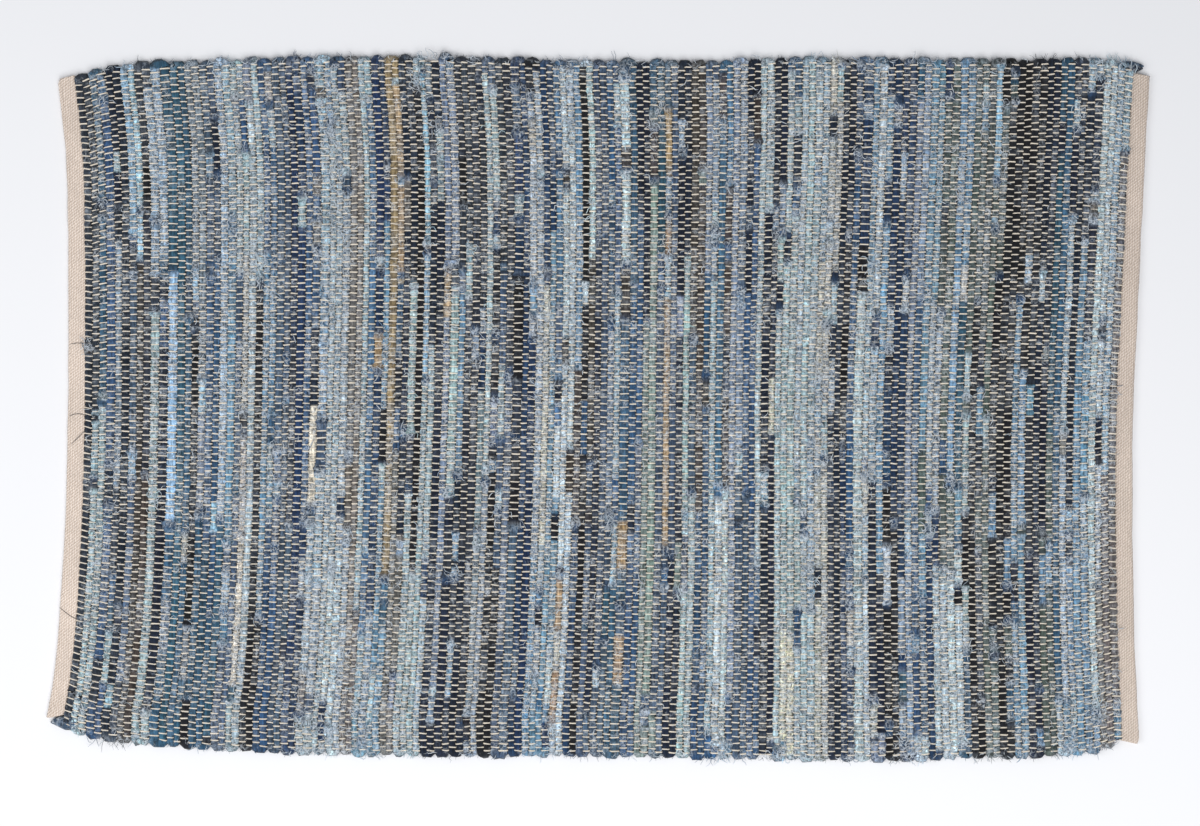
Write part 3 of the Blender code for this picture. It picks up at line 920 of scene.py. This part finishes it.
class Finish:
    """A material in the making: a matt shader, whose fixed values are set on its own sockets,
    and the nodes that its colour and its bump are made from."""

    def __init__(self, name, roughness, sheen=0.1):
        self.material = bpy.data.materials.new(name)
        self.material.use_nodes = True
        self.tree = self.material.node_tree
        self.shader = self.tree.nodes["Principled BSDF"]
        self.shader.inputs["Roughness"].default_value = roughness
        self.shader.inputs["Specular IOR Level"].default_value = 0.2
        self.shader.inputs["Sheen Weight"].default_value = sheen
        self.shader.inputs["Sheen Roughness"].default_value = 0.6

    def node(self, kind, output, inputs, **settings):
        """One output of a new node. Each input takes another node's output or a fixed value."""
        made = self.tree.nodes.new("ShaderNode" + kind)
        for key, value in settings.items():
            setattr(made, key, value)
        for key, value in inputs.items():
            if isinstance(value, bpy.types.NodeSocket):
                self.tree.links.new(value, made.inputs[key])
            else:
                made.inputs[key].default_value = value
        return made.outputs[output]

    def stored(self, name, output="Fac"):
        """A value or colour that is stored with the points."""
        return self.node("Attribute", output, {}, attribute_name=name)

    def grain(self, scale, stretch=(1, 1, 1), detail=3, roughness=0.6, shift=(0, 0, 0)):
        """Noise in the object's own space, drawn out along the axes where stretch is small."""
        place = self.node("TexCoord", "Object", {})
        place = self.node("Mapping", "Vector", {
            "Vector": place, "Scale": stretch, "Location": shift,
        })
        return self.node("TexNoise", "Fac", {
            "Vector": place, "Scale": scale, "Detail": detail, "Roughness": roughness,
        })

    def between(self, value, low, high, new_low, new_high):
        """The value moved from one range to another and held inside it."""
        return self.node("MapRange", "Result", {
            "Value": value, "From Min": low, "From Max": high,
            "To Min": new_low, "To Max": new_high,
        })

    def reckon(self, operation, *values):
        """A sum, product or other operation of values."""
        return self.node("Math", "Value", dict(enumerate(values)), operation=operation)

    def curls(self, scale, shift, thickness):
        """Thin curly lines, 1 on a line and 0 off it: where a noise passes through its middle."""
        noise = self.grain(scale, detail=1, roughness=0.4, shift=shift)
        away = self.reckon("ABSOLUTE", self.reckon("SUBTRACT", noise, 0.5))
        return self.between(away, 0, thickness, 1, 0)

    def scaled(self, colour, amount):
        """A colour made lighter or darker by an amount."""
        return self.node(
            "VectorMath", "Vector", {"Vector": colour, "Scale": amount}, operation="SCALE"
        )

    def blended(self, share, *colours):
        """A colour between two others, each an output or a fixed colour."""
        first, second = [
            colour if isinstance(colour, bpy.types.NodeSocket) else (*colour, 1)
            for colour in colours
        ]
        inputs = {"Factor": share, 6: first, 7: second}
        return self.node("Mix", 2, inputs, data_type="RGBA")

    def done(self, colour, height=None, strength=1, distance=0):
        """The material, with its colour and, where there is a height, its bump."""
        self.tree.links.new(colour, self.shader.inputs["Base Color"])
        if height is not None:
            inputs = {"Height": height, "Strength": strength, "Distance": distance}
            bump = self.node("Bump", "Normal", inputs)
            self.tree.links.new(bump, self.shader.inputs["Normal"])
        return self.material


def rag_material():
    """Worn denim: the rag's own shade in patches and streaks, darkened along curly creases as
    painted shade, and with pale and blue fibres that come in where it is frayed."""
    look = Finish("worn_denim", 0.92)
    fray = look.stored("fray")
    patch = look.grain(240, detail=4, roughness=0.7)
    spread = look.reckon("MULTIPLY_ADD", fray, 2, 0.9)
    uneven = look.reckon("MULTIPLY_ADD", look.reckon("SUBTRACT", patch, 0.5), spread, 1)
    toned = look.scaled(look.stored("shade", "Color"), uneven)
    streak = look.grain(620, (1, 0.14, 0.6), 1, 0.5)
    toned = look.scaled(toned, look.between(streak, 0.32, 0.68, 0.54, 1.46))
    # How frayed the cloth is here: a patchy noise and the rag's own fray.
    level = look.grain(110, detail=2)
    level = look.reckon("ADD", level, look.reckon("MULTIPLY", fray, 0.6))

    def lines(noises, levels):
        """Curly lines in one or more noises, as strong as the fray allows."""
        drawn = look.curls(*noises[0])
        for noise in noises[1:]:
            drawn = look.reckon("MAXIMUM", drawn, look.curls(*noise))
        return look.reckon("MULTIPLY", drawn, look.between(level, *levels))

    shaded_crease = lines(*SHADED_CREASES)
    # Painted shade: the cloth's colour is darkened along the creases.
    toned = look.scaled(toned, look.reckon("SUBTRACT", 1, shaded_crease))
    toned = look.blended(lines(*BLUE_LINES), toned, BLUE_FIBRE)
    shown = lines(*PALE_LINES)
    height = look.reckon("ADD", shown, look.reckon("SUBTRACT", patch, shaded_crease))
    height = look.reckon("ADD", height, streak)
    return look.done(look.blended(shown, toned, PALE_FIBRE), height, 0.9, 0.9 * MM)


def thread_material():
    """Loose cotton thread: its own shade, a little uneven along it."""
    look = Finish("loose_cotton_thread", 0.9)
    uneven = look.between(look.grain(700), 0.3, 0.7, 0.82, 1.12)
    return look.done(look.scaled(look.stored("shade", "Color"), uneven))


def yarn_material(settings):
    """Cream cotton yarn: each stretch has its own tone, with the soft bands of its twist."""
    look = Finish("cream_cotton_yarn", 0.85)
    twist = look.grain(1500, (1, 0.5, 0.5), 2, 0.5)
    cream = tuple(settings.warp_colour)
    soiled = tuple(0.62 * part for part in cream)
    worn = look.between(look.grain(90), 0.42, 0.75, 0, 0.25)
    colour = look.scaled(look.blended(worn, cream, soiled), look.stored("tone"))
    colour = look.scaled(colour, look.between(twist, 0.3, 0.7, 0.86, 1.08))
    return look.done(colour, twist, 0.5, 0.4 * MM)


def ground_material():
    """The inside of the weave, where rag fluff and warp are pressed together, coloured dark as
    painted shade in the gaps between rags.
    """
    look = Finish("woven_ground", 0.95, sheen=0)
    share = look.between(look.grain(300), 0.35, 0.65, 0, 1)
    return look.done(look.blended(share, GROUND_SHADE_DARK, GROUND_SHADE_PALE), share, 0.5, 0.6 * MM)


def twill_rows(look):
    """Slanting rows of oval bumps, 1 on a bump and 0 between: a wave across the rows times one
    along them, in the object's own space, made uneven by a noise."""
    place = {"Vector": look.node("TexCoord", "Object", {})}
    x, y = [look.node("SeparateXYZ", axis, place) for axis in "XY"]
    uneven = look.between(look.grain(230), 0.3, 0.7, -1.1, 1.1)
    sine, cosine = math.sin(TWILL_ANGLE), math.cos(TWILL_ANGLE)
    waves = []
    for to_x, to_y, apart in ((sine, -cosine, TWILL_ACROSS), (cosine, sine, TWILL_ALONG)):
        turn = look.reckon("MULTIPLY_ADD", x, to_x * math.pi / apart, uneven)
        turn = look.reckon("MULTIPLY_ADD", y, to_y * math.pi / apart, turn)
        waves.append(look.reckon("COSINE", turn))
    return look.between(look.reckon("MULTIPLY", *waves), -0.6, 0.7, 0, 1)


def tape_material(settings):
    """Natural cotton twill tape: painted darker between its bumps as shade, with a slow change of
    tone along it and fine yarns in its face."""
    look = Finish("cotton_twill_tape", 0.88)
    twill = twill_rows(look)
    top = tuple(settings.tape_colour)
    # Painted shade: the tape's colour is darker between the bumps than on them.
    valley_shade = tuple(part * share for part, share in zip(top, TAPE_VALLEY_SHADE))
    slow = look.between(look.grain(14), 0.35, 0.65, 0.94, 1.05)
    yarns = look.grain(1200, (0.35, 1, 1), 2, 0.6)
    tone = look.reckon("MULTIPLY", slow, look.stored("tone"))
    colour = look.scaled(look.blended(twill, valley_shade, top), tone)
    colour = look.scaled(colour, look.between(yarns, 0.3, 0.7, 0.90, 1.08))
    return look.done(colour, look.reckon("MULTIPLY_ADD", yarns, 0.4, twill), 0.8, 0.6 * MM)


# The add-on


class RugSettings(bpy.types.PropertyGroup):
    """Sizes and colours of the rug that a user would change."""
    seed: bpy.props.IntProperty(
        name="Seed", description="Picks another set of uneven rags", default=6149, min=0,
    )
    warp_thickness: bpy.props.FloatProperty(
        name="Warp thickness", description="Thickness of the cotton warp yarn",
        default=1.6 * MM, min=0.3 * MM, max=3 * MM, subtype="DISTANCE", unit="LENGTH",
    )
    warp_colour: bpy.props.FloatVectorProperty(
        name="Warp colour", description="Colour of the cotton warp yarn",
        default=tuple(linear((252, 240, 222))), size=3, min=0, max=1, subtype="COLOR",
    )
    tape_colour: bpy.props.FloatVectorProperty(
        name="Tape colour", description="Colour of the cotton tape over the warp ends",
        default=tuple(linear((248, 233, 221))), size=3, min=0, max=1, subtype="COLOR",
    )


class RUG_OT_weave(bpy.types.Operator):
    """Weaves the rags and the warp"""
    bl_idname = "rug.weave"
    bl_label = "Weave rags and warp"

    def execute(self, context):
        settings = context.scene.rag_rug
        ground = weave_ground()
        rags = weave_rags(settings)
        warps = weave_warp(settings)
        for piece in (ground, *rags, *warps):
            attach(piece, "root")
        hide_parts("rag_panel")
        return {"FINISHED"}


class RUG_OT_tapes(bpy.types.Operator):
    """Folds a cotton tape over the warp ends at both ends of the rug"""
    bl_idname = "rug.tapes"
    bl_label = "Fold end tapes"

    def execute(self, context):
        settings = context.scene.rag_rug
        for name, node_name, along, ends, outward, tone in (
            ("twill_tape_left", "tape_left", 0, LEFT_TAPE_ENDS, -1, 1),
            ("twill_tape_right", "tape_right", 1, RIGHT_TAPE_ENDS, 1, 0.88),
        ):
            piece = fold_tape(name, along, ends, outward, tone, settings)
            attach(piece, "root")
            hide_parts(node_name)
        return {"FINISHED"}


class RUG_OT_threads(bpy.types.Operator):
    """Lays the loose threads: frayed ones, whiskers at the selvedges and dark sewing threads"""
    bl_idname = "rug.threads"
    bl_label = "Lay loose threads"

    def execute(self, context):
        settings = context.scene.rag_rug
        rooted = [make(settings) for make in (tail_rags, fray_rags, fray_selvedges)]
        for piece in (*rooted, drop_threads()):
            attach(piece, "root")
        return {"FINISHED"}


class RUG_OT_stage(bpy.types.Operator):
    """Sets the pale floor, the soft lights and the camera straight overhead"""
    bl_idname = "rug.stage"
    bl_label = "Set the stage"

    def execute(self, context):
        scene = context.scene
        sides = (-FLOOR_REACH, FLOOR_REACH)
        corners = np.array([(x, y, -FLOOR_BELOW) for x in sides for y in sides])
        pale = Finish("pale_floor", 0.8, sheen=0)
        pale.shader.inputs["Base Color"].default_value = FLOOR_COLOUR
        quad = np.array([[0, 2, 3, 1]])
        floor = put_mesh("floor", corners, [quad], pale.material, smooth=False)
        world = bpy.data.worlds.new("studio")
        world.use_nodes = True
        background = world.node_tree.nodes["Background"]
        background.inputs["Color"].default_value = SKY_COLOUR
        background.inputs["Strength"].default_value = SKY_STRENGTH
        scene.world = world
        for name, (place, size, power) in LAMPS.items():
            light = bpy.data.lights.new(name, "AREA")
            light.shape = "SQUARE"
            light.size = size
            light.energy = power
            lamp = bpy.data.objects.new(name, light)
            lamp.location = place
            lamp.rotation_euler = (-Vector(place)).to_track_quat("-Z", "Y").to_euler()
            scene.collection.objects.link(lamp)
        lens = bpy.data.cameras.new("camera")
        lens.lens = LENS
        lens.sensor_width = SENSOR_WIDTH
        camera = bpy.data.objects.new("camera", lens)
        camera.location = CAMERA_PLACE
        scene.collection.objects.link(camera)
        scene.camera = camera
        scene.view_settings.view_transform = "Standard"
        return {"FINISHED"}


class RUG_PT_panel(bpy.types.Panel):
    bl_idname = "RUG_PT_panel"
    bl_label = "Rag rug"
    bl_space_type = "VIEW_3D"
    bl_region_type = "UI"
    bl_category = "Rag rug"

    def draw(self, context):
        settings = context.scene.rag_rug
        for name in ("seed", "warp_thickness", "warp_colour", "tape_colour"):
            self.layout.prop(settings, name)
        for operator in (RUG_OT_weave, RUG_OT_tapes, RUG_OT_threads, RUG_OT_stage):
            self.layout.operator(operator.bl_idname)


CLASSES = (
    RugSettings, RUG_OT_weave, RUG_OT_tapes, RUG_OT_threads, RUG_OT_stage, RUG_PT_panel,
)


def register():
    for made in CLASSES:
        bpy.utils.register_class(made)
    bpy.types.Scene.rag_rug = bpy.props.PointerProperty(type=RugSettings)


def unregister():
    del bpy.types.Scene.rag_rug
    for made in reversed(CLASSES):
        bpy.utils.unregister_class(made)


def main():
    register()
    bpy.ops.rug.weave()
    bpy.ops.rug.tapes()
    bpy.ops.rug.threads()
    bpy.ops.rug.stage()
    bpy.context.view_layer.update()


if __name__ == "__main__":
    main()
